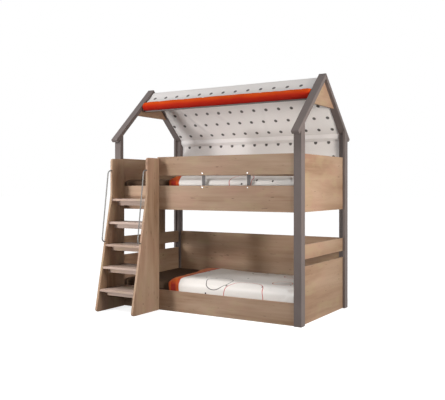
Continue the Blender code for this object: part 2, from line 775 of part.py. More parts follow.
def make_duvet(level, top, finish):
    """A quilt over the mattress, its sides hanging between the mattress and the boards."""
    side = MATTRESS_WIDTH / 2 + DUVET_SIDE_PLAY
    turn = MATTRESS_ROUND + DUVET_SIDE_PLAY
    low = top - DUVET_DROP
    corners = ((-side, low, 0), (-side, top, turn), (side, top, turn), (side, low, 0))
    path = even_path(rounded(corners, closed=False, steps=4), DUVET_RUN)
    frames = path_frames(path)
    foot = MATTRESS_LENGTH / 2 - DUVET_FOOT_GAP
    whole = frames[-1][2]

    def loft(x, y, to_edge):
        """Thickness of the quilt at a place on it."""
        on_top = min(1, max(0, (side - abs(y)) / turn))
        channel = abs(math.sin(math.pi * (x - foot) / DUVET_CHANNEL_PITCH))
        full = DUVET_LOFT + DUVET_PUFF * channel * on_top
        body = DUVET_SKIRT_LOFT + (full - DUVET_SKIRT_LOFT) * on_top
        rim = min(1, to_edge / DUVET_RIM)
        return DUVET_HEM_LOFT + (body - DUVET_HEM_LOFT) * math.sqrt(rim)

    def position(share_x, frame, layer):
        """Corner of the quilt on its lower or upper layer."""
        point, normal, run = frame
        across = run / whole
        length = DUVET_LENGTH - DUVET_HEAD_SLANT * (1 - across)
        x = foot - length * (1 - share_x)
        y, z = point
        if abs(y) < side:
            crown = mattress_top(x, y, 0)
            z += DUVET_PLAY + crown * min(1, (side - abs(y)) / turn)
        to_edge = min(foot - x, length * share_x, run, whole - run)
        lift = layer * loft(x, y, to_edge)
        return Vector((x, y + normal.x * lift, z + normal.y * lift))

    name = f"duvet_{level}"
    mesh = sheet_mesh(name, DUVET_COLUMNS, frames, position)
    place(name, mesh, finish, (0, RIDGE_Y, 0))


def make_bunks(finishes):
    """Ledges, slatted base, mattress and duvet of both levels."""
    levels = (
        ("lower", FLOOR_CLEARANCE + LOWER_LEDGE_RISE),
        ("upper", UPPER_PANEL_BOTTOM + UPPER_LEDGE_RISE),
    )
    for level, ledge_bottom in levels:
        slats = make_base(level, ledge_bottom, finishes)
        top = make_mattress(level, slats + FIT, finishes["sheet"])
        make_duvet(level, top, finishes["duvet"])


def purlin_top():
    """Height of the purlin, just under the upper face of the rafters."""
    return RIDGE_HEIGHT - SLOPE * (PURLIN_OFFSET + PURLIN_THICK / 2) - PURLIN_INSET


def cloth_line():
    """Corners of the fabric roof in (y from the ridge, z), from the sleeve to the hem."""
    ridge = Vector((0, RIDGE_HEIGHT - CLOTH_RIDGE_DROP))
    eave_y = PANEL_FACE_Y + CLOTH_BACK_GAP - RIDGE_Y
    eave = Vector((eave_y, ridge.y - SLOPE * eave_y - CLOTH_EAVE_SLACK))
    hem = Vector((eave.x, UPPER_PANEL_TOP - CLOTH_HEM_LAP))
    down = Vector((-math.cos(ROOF_PITCH), -math.sin(ROOF_PITCH)))
    centre = Vector((-PURLIN_OFFSET, purlin_top() - SLEEVE_SEAT))
    foot = (centre - ridge).dot(down)
    aside = (centre - ridge - down * foot).length
    clear = SLEEVE_RADIUS + CLOTH_THICK
    start = ridge + down * (foot - math.sqrt(clear ** 2 - aside ** 2))
    return start, ridge, eave, hem


def make_round_bars(finishes):
    """The ridge pole and the eave rod, each in the bend of the cloth that it carries."""
    start, ridge, eave, hem = cloth_line()
    lining = CLOTH_THICK / 2 + CLOTH_PLAY
    rows = (
        ("ridge_pole", start, ridge, eave, POLE_RADIUS),
        ("eave_rod_rear", ridge, eave, hem, EAVE_ROD_RADIUS),
    )
    for name, before, corner, after, radius in rows:
        centre, _, _ = corner_arc(before, corner, after, radius + lining)
        middle = (0, RIDGE_Y + centre.x, centre.y)
        length = 2 * (BAY_X - FIT)
        cylinder(name, radius, length, ROD_SIDES, finishes["grey"], middle, (0, math.pi / 2, 0))


def make_purlin(finishes):
    """The bar across the front slope and the padded sleeve that straddles it."""
    y_middle = RIDGE_Y - PURLIN_OFFSET
    reach = BAY_X - FIT
    top = purlin_top()
    low = (-reach, y_middle - PURLIN_THICK / 2, top - PURLIN_HEIGHT)
    high = (reach, y_middle + PURLIN_THICK / 2, top)
    board("purlin_front", low, high, finishes["grey"])
    slot_half = PURLIN_THICK / 2 + SLEEVE_PLAY
    slot_top = top + SLEEVE_PLAY
    mouth = math.asin(slot_half / SLEEVE_RADIUS)
    sweep = 2 * math.pi - 2 * mouth
    outline = []
    for step in range(SLEEVE_SIDES + 1):
        angle = mouth + sweep * step / SLEEVE_SIDES
        u = y_middle + SLEEVE_RADIUS * math.sin(angle)
        outline.append((u, top - SLEEVE_SEAT - SLEEVE_RADIUS * math.cos(angle)))
    outline.append((y_middle - slot_half, slot_top))
    outline.append((y_middle + slot_half, slot_top))
    length = 2 * (reach - SLEEVE_END_GAP)
    side_piece("purlin_sleeve", outline, 0, length, finishes["padding"], SLEEVE_EDGE)


def crease(share_x, share, lines=CREASE_SHARES):
    """Depth of the soft diagonal creases at a place on the back slope."""
    depth = 0.0
    width = 2 * (BAY_X - CLOTH_SIDE_GAP)
    fall = BED_DEPTH / 2 / math.cos(ROOF_PITCH)
    here = Vector((share_x * width, share * fall))
    for x_start, start, x_end, end in lines:
        first = Vector((x_start * width, start * fall))
        last = Vector((x_end * width, end * fall))
        run = last - first
        along = max(0, min(1, (here - first).dot(run) / run.length_squared))
        away = (here - first - run * along).length
        depth += CREASE_DEPTH * math.exp(-(away / CREASE_WIDTH) ** 2)
    return depth


def make_canopy(finishes):
    """The fabric roof: over the ridge pole, down the back slope, over the rod and down."""
    start, ridge, eave, hem = cloth_line()
    lining = CLOTH_THICK / 2 + CLOTH_PLAY
    corners = (
        (*start, 0),
        (*ridge, POLE_RADIUS + lining),
        (*eave, EAVE_ROD_RADIUS + lining),
        (*hem, 0),
    )
    frames = path_frames(even_path(rounded(corners, closed=False), CLOTH_RUN))
    half_width = BAY_X - CLOTH_SIDE_GAP

    def hang(share_x, point):
        """How far the cloth lies below its straight run between the bars."""
        y, z = point
        if y < 0:
            share = max(0, min(1, y / start.x))
            return CLOTH_SAG / 2 * math.sin(math.pi * share) ** 2
        if z > eave.y + EAVE_ROD_RADIUS:
            share = y / eave.x
            belly = math.sin(math.pi * share) ** 2
            return (CLOTH_SAG + crease(share_x, share)) * belly
        share = max(0, min(1, (eave.y - EAVE_ROD_RADIUS - z) / (eave.y - hem.y)))
        phase = 2 * math.pi * share_x * 2 * half_width / CLOTH_WAVE_PITCH
        return CLOTH_WAVE * math.sin(phase) * math.sqrt(share)

    def position(share_x, frame, layer):
        """Corner of the cloth on its inner or outer face."""
        point, normal, _ = frame
        lift = (layer - 0.5) * CLOTH_THICK - hang(share_x, point)
        x = (2 * share_x - 1) * half_width
        return Vector((x, point.x + normal.x * lift, point.y + normal.y * lift))

    mesh = sheet_mesh("canopy", CLOTH_COLUMNS, frames, position)
    place("canopy", mesh, finishes["cloth"], (0, RIDGE_Y, 0))


def main():
    """Build the whole bed."""
    clear_scene()
    finishes = make_materials()
    make_roof_frame(finishes)
    boards = make_long_boards(finishes)
    make_end_boards(finishes)
    make_straps(finishes, boards)
    make_ladder(finishes)
    make_bunks(finishes)
    make_round_bars(finishes)
    make_purlin(finishes)
    make_canopy(finishes)


main()
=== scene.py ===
"""Looks of the bunk bed: finishes, fabric roof, padded sleeve, bedding, camera and lights."""
import math

import bmesh
import bpy
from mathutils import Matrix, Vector, noise


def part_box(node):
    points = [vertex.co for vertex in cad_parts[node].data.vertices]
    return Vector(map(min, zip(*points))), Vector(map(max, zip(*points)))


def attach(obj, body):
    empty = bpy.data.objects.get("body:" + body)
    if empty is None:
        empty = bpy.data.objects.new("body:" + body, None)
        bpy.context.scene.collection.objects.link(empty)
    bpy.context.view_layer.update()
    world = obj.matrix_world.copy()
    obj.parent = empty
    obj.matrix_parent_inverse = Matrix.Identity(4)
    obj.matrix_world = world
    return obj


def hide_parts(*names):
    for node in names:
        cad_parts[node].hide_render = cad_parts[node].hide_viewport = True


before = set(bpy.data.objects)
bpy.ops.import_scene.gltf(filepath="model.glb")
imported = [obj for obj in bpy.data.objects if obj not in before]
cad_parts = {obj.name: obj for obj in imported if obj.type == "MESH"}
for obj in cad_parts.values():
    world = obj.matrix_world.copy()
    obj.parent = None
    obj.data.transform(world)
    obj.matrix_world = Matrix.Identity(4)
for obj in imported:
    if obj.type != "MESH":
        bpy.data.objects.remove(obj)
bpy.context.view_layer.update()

# Fabric roof. A row of dots has its distance below the ridge and its shift sideways
CLOTH_THICK = 0.0016
CLOTH_GRID = 0.012
CLOTH_REACH = 0.981
CLOTH_STANDOFF = 0.0021
SLOPE_RUN = 0.733
FLAT_RUN = 0.02
FRONT_SAG = 0.0045
BACK_SAG = 0.009
HEM_WAVE = 0.0024
HEM_WAVE_LENGTH = 0.34
POLE_RADIUS = 0.015
ROD_RADIUS = 0.012
DOT_PITCH = 0.145
DOT_RADIUS = 0.0178
DOT_ROWS = (
    (-0.108, -0.033), (0.030, 0.040), (0.175, -0.033), (0.325, 0.001), (0.475, 0.056),
    (0.626, 0.058), (0.779, -0.014), (0.930, 0.040),
)
HEM = 0.022
STITCH = (0.0016, 0.0006)

# Folds of its back slope: start and end, as shares of its width and its run, and weight
CREASES = (
    (0.06, 0.05, 0.26, 0.95, 1.0), (0.22, 0.02, 0.37, 0.55, 0.8), (0.66, 0.10, 0.60, 0.98, 0.6),
    (0.46, 0.05, 0.52, 0.70, 0.4), (0.90, 0.04, 0.80, 0.80, 0.6), (0.02, 0.55, 0.12, 0.98, 0.6),
)
FOLD_DEPTH = 0.0062
VALLEY_WIDTH = 0.026
RIDGE_WIDTH = 0.030
RIDGE_ASIDE = 0.045

# Tunnel of the eave rod
TUNNEL_REACH = 0.0126
TUNNEL_SEAM = 0.0128
TUNNEL_LAP = 0.034
TUNNEL_THICK = 0.0007
TUNNEL_GRID = 0.006
TUNNEL_COLUMNS = 160

# Padded sleeve, its centre counted down from the top of its solid
SLEEVE_RADIUS = 0.0480
SLEEVE_DROP = 0.0420
SLEEVE_STANDOFF = 0.0023
SLEEVE_SIDES = 34
SLEEVE_GRID = 0.011
SLEEVE_SETBACK = 0.002
SLEEVE_DRAW = 0.22
SLEEVE_DRAW_RUN = 0.009
SLEEVE_PUCKER = 0.0009
SLEEVE_GIRTH = 0.24
SLEEVE_GROWTH = 0.0025
SLOT_PLAY = 0.0012

# Mattresses
MATTRESS_COUNTS = (90, 42, 8)
MATTRESS_EDGE = 0.030
MATTRESS_PLAY = 0.003
MATTRESS_GROWTH = 0.006

# Quilts. The front edge is the shorter one, so the head end slants
QUILT_GRID = 0.015
QUILT_SIDE = 0.452
QUILT_TURN = 0.032
QUILT_DROP = 0.118
QUILT_FRONT = 1.365
QUILT_BACK = 1.565
QUILT_EDGE = 0.006
QUILT_RIM = 0.075
QUILT_PINCH = 0.045
QUILT_FULL = 0.012
QUILT_LOFT = 0.013
QUILT_SWELL = 0.005
QUILT_WAVER = 0.010
QUILT_DOME = 0.004
QUILT_CELL = 0.19
QUILT_DOT = 0.009

# Striped head end: its width at the front and the back, and the stripes on its side and its top
BAND_FRONT = 0.115
BAND_BACK = 0.240
# The stripes are print; the side's set is painted darker as shade and the top's set lighter as
# light, its middle stripe dark red on the side and bright orange on the top
SHADED_SIDE_STRIPES = (
    (0.0, (0.62, 0.085, 0.006)), (0.20, (0.62, 0.085, 0.006)), (0.28, (0.42, 0.016, 0.004)),
    (0.66, (0.42, 0.016, 0.004)), (0.74, (0.64, 0.085, 0.006)), (1.0, (0.64, 0.085, 0.006)),
)
LIT_TOP_STRIPES = (
    (0.0, (0.62, 0.085, 0.006)), (0.30, (0.62, 0.085, 0.006)), (0.38, (0.70, 0.155, 0.010)),
    (0.72, (0.70, 0.155, 0.010)), (0.80, (0.60, 0.065, 0.006)), (1.0, (0.60, 0.065, 0.006)),
)

# Printed rings: centre from the front foot corner, radius, width of the line and colour
RED = (0.55, 0.035, 0.025)
DARK = (0.085, 0.070, 0.070)
AMBER = (0.80, 0.20, 0.03)
LOWER_RINGS = (
    ((-0.86, 0.21), 0.130, 0.0042, DARK), ((-0.53, 0.03), 0.210, 0.0042, RED),
    ((-0.26, 0.36), 0.095, 0.0036, AMBER), ((-0.76, 0.82), 0.080, 0.0036, DARK),
    ((-0.34, 0.80), 0.120, 0.0036, RED),
)
UPPER_RINGS = (
    ((-0.56, 0.10), 0.120, 0.0042, RED), ((-0.92, 0.46), 0.110, 0.0036, DARK),
    ((-0.60, 0.78), 0.140, 0.0036, AMBER), ((-0.20, 0.54), 0.110, 0.0036, RED),
    ((-0.25, 0.90), 0.080, 0.0036, DARK),
)

# Wood, as stops of a ramp from dark to light grain
OAK = (
    (0.34, (0.245, 0.145, 0.086)), (0.47, (0.335, 0.215, 0.140)), (0.58, (0.390, 0.265, 0.180)),
    (0.70, (0.445, 0.315, 0.225)),
)
# A lighter, cooler copy of the oak: painted light for the treads and aprons, standing in for the
# light on the ladder's front
LIT_OAK = (
    (0.34, (0.340, 0.235, 0.180)), (0.47, (0.430, 0.320, 0.265)), (0.58, (0.475, 0.365, 0.310)),
    (0.70, (0.520, 0.410, 0.350)),
)
PINE = ((0.34, (0.46, 0.30, 0.16)), (0.5, (0.62, 0.45, 0.27)), (0.66, (0.70, 0.54, 0.36)))
OAK_FLECK = (0.13, 0.080, 0.050, 1)
PINE_FLECK = (0.30, 0.17, 0.08, 1)
WARM_BLOTCH = (0.45, 0.245, 0.185, 1)
OLIVE_BLOTCH = (0.38, 0.32, 0.175, 1)

# Picture: the camera solved from the photograph's parallel edges
PHOTO_SIZE = (445, 400)
PHOTO_FOCAL = 622.7
PHOTO_CENTRE = (265.5, 186.7)
PHOTO_EYE = (3.4165, -5.1284, 1.2028)
PHOTO_YAW = 0.5167

# Light. A sun has its azimuth, elevation, strength, softness and colour, and a panel has its
# place, target, size, power and colour
AMBIENT = 0.06
FLOOR_REACH = 60.0
FLOOR_DROP = 0.0005
SUN_DISTANCE = 6
WHITE = (1, 1, 1)
CREAM = (1.0, 0.95, 0.88)
SUNS = {
    "overhead": (-10, 72, 1.08, 12, WHITE),
    "behind": (165, 40, 0.6, 20, WHITE),
    "from_right": (88, 18, 0.45, 15, (1.0, 0.97, 0.93)),
}
PANELS = {
    "right": ((3.6, -0.9, 1.7), (1.0, 0.2, 1.2), 1.0, 80, CREAM),
    "right_near": ((3.2, -0.2, 1.2), (0.5, 0.2, 1.2), 0.8, 8, CREAM),
    "low_left": ((-1.65, -2.9, 0.75), (-0.7, -0.5, 0.7), 0.35, 49, WHITE),
    "high_left": ((-1.75, -2.0, 2.3), (-0.7, -0.5, 0.7), 0.7, 29, WHITE),
    "front_right": ((3.0, -3.0, 1.0), (0.0, 0.0, 1.0), 0.8, 6, WHITE),
    "beside_camera": ((2.9, -5.3, 1.7), (0.0, 0.0, 1.0), 1.2, 32, WHITE),
}


class Look:
    """A Principled material while its nodes are laid out."""

    def __init__(self, name):
        self.material = bpy.data.materials.new(name)
        self.material.use_nodes = True
        self.tree = self.material.node_tree
        self.shader = self.tree.nodes["Principled BSDF"]

    def feed(self, socket, value):
        """Link a socket to another, or set its value."""
        if isinstance(value, bpy.types.NodeSocket):
            self.tree.links.new(value, socket)
        else:
            socket.default_value = value

    def add(self, kind, inputs=None, **settings):
        """A new node with its settings and inputs."""
        made = self.tree.nodes.new(kind)
        for key, value in settings.items():
            setattr(made, key, value)
        for key, value in (inputs or {}).items():
            self.feed(made.inputs[key], value)
        return made

    def math(self, operation, first, second=0.0, clamp=False):
        """One math node."""
        inputs = {0: first, 1: second}
        return self.add("ShaderNodeMath", inputs, operation=operation, use_clamp=clamp).outputs[0]

    def plus(self, first, second):
        """A sum."""
        return self.math("ADD", first, second)

    def minus(self, first, second):
        """A difference."""
        return self.math("SUBTRACT", first, second)

    def times(self, first, second):
        """A product."""
        return self.math("MULTIPLY", first, second)

    def distance(self, x, y):
        """Distance of a point from the origin."""
        return self.math("SQRT", self.plus(self.times(x, x), self.times(y, y)))

    def mix(self, factor, first, second):
        """Two colours mixed by a factor."""
        inputs = {0: factor, 6: first, 7: second}
        return self.add("ShaderNodeMix", inputs, data_type="RGBA").outputs[2]

    def place(self):
        """Position in metres, from the origin of the object."""
        return self.add("ShaderNodeTexCoord").outputs["Object"]

    def uv(self, name):
        """One UV map as separate numbers."""
        made = self.add("ShaderNodeUVMap", uv_map=name)
        split = self.add("ShaderNodeSeparateXYZ", {0: made.outputs[0]})
        return split.outputs[0], split.outputs[1]

    def stretch(self, vector, factors):
        """A vector scaled axis by axis."""
        inputs = {0: vector, 1: factors}
        return self.add("ShaderNodeVectorMath", inputs, operation="MULTIPLY").outputs[0]

    def noise(self, vector, scale=1.0, detail=4.0, roughness=0.5, distortion=0.0):
        """A noise value, mostly from 0.3 to 0.7."""
        inputs = {
            "Vector": vector, "Scale": scale, "Detail": detail, "Roughness": roughness,
            "Distortion": distortion,
        }
        return self.add("ShaderNodeTexNoise", inputs).outputs[0]

    def span(self, value, low, high, out_low=0.0, out_high=1.0):
        """A value taken from one range to another, held at its ends."""
        inputs = {0: value, 1: low, 2: high, 3: out_low, 4: out_high}
        return self.add("ShaderNodeMapRange", inputs).outputs[0]

    def ramp(self, factor, stops):
        """A colour ramp from (position, colour) stops."""
        made = self.add("ShaderNodeValToRGB", {0: factor})
        elements = made.color_ramp.elements
        while len(elements) < len(stops):
            elements.new(0.5)
        for element, (position, colour) in zip(elements, stops):
            element.position = position
            element.color = (*colour, 1)
        return made.outputs[0]

    def bump(self, height, distance):
        """A normal roughened by a height, where 1 stands for a distance in metres."""
        return self.add("ShaderNodeBump", {"Height": height, "Distance": distance}).outputs[0]

    def edge(self, radius=0.003):
        """About 1 along worn edges and 0 on faces."""
        turned = self.add("ShaderNodeBevel", {"Radius": radius}, samples=4).outputs[0]
        flat = self.add("ShaderNodeNewGeometry").outputs["Normal"]
        inputs = {0: turned, 1: flat}
        dot = self.add("ShaderNodeVectorMath", inputs, operation="DOT_PRODUCT").outputs["Value"]
        return self.span(dot, 0.995, 0.85)

    def set(self, name, value):
        """Set a value on the shader's own socket."""
        self.shader.inputs[name].default_value = value

    def finish(self, colour, roughness, normal=None):
        """Feed the shader and hand the material over."""
        self.feed(self.shader.inputs["Base Color"], colour)
        self.feed(self.shader.inputs["Roughness"], roughness)
        if normal:
            self.feed(self.shader.inputs["Normal"], normal)
        return self.material


def wood(name, axis, tones, fleck):
    """Boards grained along one axis: soft figure, faint streaks, blotches and short knots."""
    look = Look(name)
    place = look.place()

    def along(run, across):
        """Position drawn out along the grain."""
        return look.stretch(place, [run if index == axis else across for index in range(3)])

    figure = look.noise(along(0.8, 5.0), detail=4, roughness=0.5, distortion=0.6)
    streak = look.noise(along(1.3, 46.0), detail=6, roughness=0.62)
    pores = look.noise(along(9.0, 330.0), detail=2)
    mixed = look.plus(look.times(figure, 0.74), look.times(streak, 0.26))
    colour = look.ramp(mixed, tones)
    warm = look.span(look.noise(along(2.2, 5.5), detail=2), 0.50, 0.66, 0.0, 0.30)
    colour = look.mix(warm, colour, WARM_BLOTCH)
    olive = look.span(look.noise(along(2.6, 6.5), 1.7, detail=2), 0.54, 0.68, 0.0, 0.30)
    colour = look.mix(olive, colour, OLIVE_BLOTCH)
    dashes = look.span(pores, 0.60, 0.72)
    patch = look.span(look.noise(along(1.1, 5.0), detail=2), 0.42, 0.62)
    colour = look.mix(look.times(look.times(dashes, patch), 0.32), colour, fleck)
    knots = look.span(look.noise(along(13.0, 58.0), detail=1), 0.715, 0.765, 0.0, 0.62)
    colour = look.mix(knots, colour, fleck)
    colour = look.mix(look.times(look.edge(), 0.30), colour, (*tones[-1][1], 1))
    height = look.minus(look.times(streak, 0.5), look.times(dashes, 0.5))
    look.set("Specular IOR Level", 0.18)
    return look.finish(colour, look.span(streak, 0.3, 0.7, 0.50, 0.64), look.bump(height, 0.0003))


def lacquer(name, dark, light, worn):
    """Lacquered board: faint mottling, orange peel and paler edges."""
    look = Look(name)
    place = look.place()
    cloudy = look.noise(place, 5.0, detail=3)
    fine = look.noise(place, 900.0, detail=1)
    peel = look.noise(place, 260.0, detail=2)
    colour = look.mix(look.span(cloudy, 0.3, 0.7), (*dark, 1), (*light, 1))
    colour = look.mix(look.times(look.span(fine, 0.55, 0.7), 0.12), colour, (*worn, 1))
    colour = look.mix(look.times(look.edge(), 0.35), colour, (*worn, 1))
    look.set("Specular IOR Level", 0.25)
    return look.finish(colour, look.span(cloudy, 0.3, 0.7, 0.42, 0.52), look.bump(peel, 0.00012))


def metal(name, colour, axis_factors, smooth, dull):
    """Satin metal with fine brushing and a few duller patches."""
    look = Look(name)
    place = look.place()
    brushing = look.noise(look.stretch(place, axis_factors), detail=3, roughness=0.7)
    patches = look.noise(place, 14.0, detail=2)
    darker = [0.86 * part for part in colour]
    tone = look.mix(look.span(patches, 0.35, 0.7), (*colour, 1), (*darker, 1))
    rough = look.span(brushing, 0.3, 0.7, smooth, dull)
    look.set("Metallic", 1.0)
    return look.finish(tone, rough, look.bump(brushing, 0.00005))


def weave(look, pitch):
    """Height of a plain weave, from the metre UVs of a cloth."""
    across, run = look.uv("metres")
    turns = 2 * math.pi / pitch
    warp = look.math("SINE", look.times(across, turns))
    weft = look.math("SINE", look.times(run, turns))
    return look.times(warp, weft)


def woven(look, colour, pitch, relief, sheen=0.10, slubs=0.14):
    """Finish a fabric: weave, slubs, slight soiling and a soft sheen."""
    place = look.place()
    slub = look.noise(place, 420.0, detail=2)
    soil = look.noise(place, 3.2, detail=4)
    colour = look.mix(look.span(slub, 0.35, 0.75, 0.0, slubs), colour, (0.30, 0.26, 0.24, 1))
    colour = look.mix(look.span(soil, 0.45, 0.75, 0.0, 0.5 * slubs), colour, (0.42, 0.36, 0.32, 1))
    height = look.plus(weave(look, pitch), look.times(slub, 1.5))
    look.set("Specular IOR Level", 0.06)
    look.set("Sheen Weight", sheen)
    look.set("Sheen Roughness", 0.5)
    return look.finish(colour, look.span(soil, 0.3, 0.7, 0.80, 0.92), look.bump(height, relief))


def disc(look, across, run, radius, blur):
    """1 inside a circle about the UV origin and 0 outside."""
    return look.span(look.distance(across, run), radius * (1 + blur), radius * (1 - blur))


def roof_cloth():
    """Off-white cotton with staggered dark dots and a stitched hem."""
    look = Look("roof_cotton")
    across, run = look.uv("dots")
    across = look.minus(look.math("FRACT", across), 0.5)
    dots = disc(look, across, run, DOT_RADIUS / DOT_PITCH, 0.16)
    blotch = look.span(look.noise(look.place(), 160.0, detail=3), 0.3, 0.7, 0.82, 1.0)
    cotton, print_ink = (0.83, 0.80, 0.785, 1), (0.036, 0.030, 0.030, 1)
    colour = look.mix(look.times(dots, blotch), cotton, print_ink)
    seams = []
    for inward in look.uv("hems"):
        away = look.math("ABSOLUTE", look.minus(inward, HEM))
        seams.append(look.span(away, *STITCH))
    seam = look.math("ADD", *seams, clamp=True)
    colour = look.mix(look.times(seam, 0.4), colour, (0.42, 0.38, 0.36, 1))
    return woven(look, colour, pitch=0.0014, relief=0.00010)


def tape_cloth():
    """Plain white cotton tape."""
    look = Look("cotton_tape")
    shade = look.span(look.noise(look.place(), 9.0), 0.3, 0.7)
    colour = look.mix(shade, (0.83, 0.80, 0.79, 1), (0.87, 0.84, 0.83, 1))
    return woven(look, colour, pitch=0.0012, relief=0.00010)


def sleeve_cloth():
    """Padded cloth, its own orange above and red below, with painted shade darkest on the
    underside and painted light brightest on the top.
    """
    look = Look("sleeve_cotton")
    _, turn = look.uv("turn")
    waver = look.times(look.minus(look.noise(look.place(), 6.0), 0.5), 0.10)
    # Round the tube from the underside: the orange and red are the cloth's own, the near-black red
    # at both ends is painted shade and the brightest orange near the top is painted light
    colour = look.ramp(look.plus(turn, waver), (
        (0.00, (0.28, 0.003, 0.002)), (0.28, (0.40, 0.006, 0.002)), (0.42, (0.54, 0.022, 0.003)),
        (0.52, (0.72, 0.115, 0.009)), (0.66, (0.68, 0.078, 0.006)), (0.80, (0.46, 0.018, 0.003)),
        (1.00, (0.28, 0.003, 0.002)),
    ))
    return woven(look, colour, pitch=0.0014, relief=0.00012, sheen=0.0, slubs=0.03)


def sheet_cloth():
    """Jersey of the fitted sheets: their own grey-brown, painted darker and browner as shade."""
    look = Look("sheet_jersey_painted_shade")
    heather = look.noise(look.place(), 260.0, detail=3, roughness=0.8)
    # Both tones are the sheet's grey-brown painted darker: painted shade
    dark, light = (0.056, 0.032, 0.019, 1), (0.096, 0.059, 0.037, 1)
    colour = look.mix(look.span(heather, 0.3, 0.7), dark, light)
    return woven(look, colour, pitch=0.0011, relief=0.00012, sheen=0.0, slubs=0.02)


def ring(look, across, run, centre, radius, width):
    """A thin circle at a place of the quilt."""
    x = look.minus(across, centre[0])
    y = look.minus(run, centre[1])
    away = look.math("ABSOLUTE", look.minus(look.distance(x, y), radius))
    return look.span(away, width, width * 0.6)


def quilt_cloth(name, rings, seed):
    """White cotton, an orange and red striped head, thin rings and sparse dots."""
    look = Look(name)
    across, run = look.uv("metres")
    head, depth = look.uv("head")
    colour = (0.86, 0.825, 0.79, 1)
    for centre, radius, width, shade in rings:
        colour = look.mix(ring(look, across, run, centre, radius, width), colour, (*shade, 1))
    column = look.plus(look.math("DIVIDE", across, QUILT_CELL), seed)
    row = look.math("DIVIDE", run, QUILT_CELL)
    corner = look.add("ShaderNodeCombineXYZ", {
        0: look.math("FLOOR", column), 1: look.math("FLOOR", row), 2: seed,
    }).outputs[0]
    random = look.add("ShaderNodeTexWhiteNoise", {"Vector": corner}, noise_dimensions="3D")
    shift = look.add("ShaderNodeSeparateColor", {0: random.outputs["Color"]})
    x = look.minus(look.math("FRACT", column), look.span(shift.outputs[0], 0, 1, 0.2, 0.8))
    y = look.minus(look.math("FRACT", row), look.span(shift.outputs[1], 0, 1, 0.2, 0.8))
    dots = disc(look, x, y, QUILT_DOT / QUILT_CELL, 0.12)
    some = look.math("GREATER_THAN", shift.outputs[2], 0.45)
    colour = look.mix(look.times(dots, some), colour, (0.055, 0.045, 0.045, 1))
    # At the turn the side's stripes, painted shade, give way to the top's, painted light
    on_top = look.span(depth, 0.09, 0.15)
    stripes = look.mix(on_top, look.ramp(head, SHADED_SIDE_STRIPES), look.ramp(head, LIT_TOP_STRIPES))
    colour = look.mix(look.span(head, 1.01, 0.99), colour, stripes)
    return woven(look, colour, pitch=0.0010, relief=0.00008)


def new_object(name, data):
    """A new object, linked to the scene."""
    made = bpy.data.objects.new(name, data)
    bpy.context.scene.collection.objects.link(made)
    return made


def mesh_piece(name, points, faces, material, maps=None):
    """A new smooth-shaded mesh object, its UV maps given as one pair per point."""
    mesh = bpy.data.meshes.new(name)
    mesh.from_pydata(points, [], faces)
    mesh.materials.append(material)
    for map_name, pairs in (maps or {}).items():
        layer = mesh.uv_layers.new(name=map_name)
        for loop in mesh.loops:
            layer.data[loop.index].uv = pairs[loop.vertex_index]
    mesh.shade_smooth()
    return new_object(name, mesh)


def grid_faces(rows, columns):
    """Quads over points that are laid out row by row."""
    width = columns + 1
    faces = []
    for row in range(rows - 1):
        for column in range(columns):
            first = row * width + column
            faces.append((first, first + 1, first + width + 1, first + width))
    return faces


def clamp(value):
    """A value held between 0 and 1."""
    return max(0.0, min(1.0, value))


def seat(piece, node):
    """Put a soft piece on the bed in place of its CAD solid."""
    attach(piece, "root")
    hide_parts(node)


def bend(before, corner, after, radius, steps):
    """Points of the arc that rounds a corner."""
    back = (before - corner).normalized()
    ahead = (after - corner).normalized()
    half = back.angle(ahead) / 2
    centre = corner + (back + ahead).normalized() * radius / math.sin(half)
    start = corner + back * radius / math.tan(half) - centre
    end = corner + ahead * radius / math.tan(half) - centre
    sweep = start.angle_signed(end)
    points = []
    for step in range(steps + 1):
        turn = -sweep * step / steps
        cosine, sine = math.cos(turn), math.sin(turn)
        x = start.x * cosine - start.y * sine
        y = start.x * sine + start.y * cosine
        points.append(centre + Vector((x, y)))
    return points


def divided(points, run):
    """A path with its long stretches divided."""
    made = [points[0]]
    for start, end in zip(points, points[1:]):
        count = max(1, round((end - start).length / run))
        made += [start.lerp(end, step / count) for step in range(1, count + 1)]
    return made


def framed(points):
    """Each point of a path, its left-hand normal and the length before it."""
    rows = []
    length = 0.0
    for index, point in enumerate(points):
        if index:
            length += (point - points[index - 1]).length
        along = (points[min(index + 1, len(points) - 1)] - points[max(index - 1, 0)]).normalized()
        rows.append((point, Vector((-along.y, along.x)), length))
    return rows


def section(node):
    """Centre of a CAD node's box in (y, z)."""
    low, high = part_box(node)
    middle = (low + high) / 2
    return Vector((middle.y, middle.z))


def heading(way):
    """Angle of a direction."""
    return math.atan2(way.y, way.x)


def arc(centre, reach, first, last, steps):
    """Points on a circle from one angle to another."""
    angles = [first + (last - first) * step / steps for step in range(steps + 1)]
    return [centre + reach * Vector((math.cos(angle), math.sin(angle))) for angle in angles]


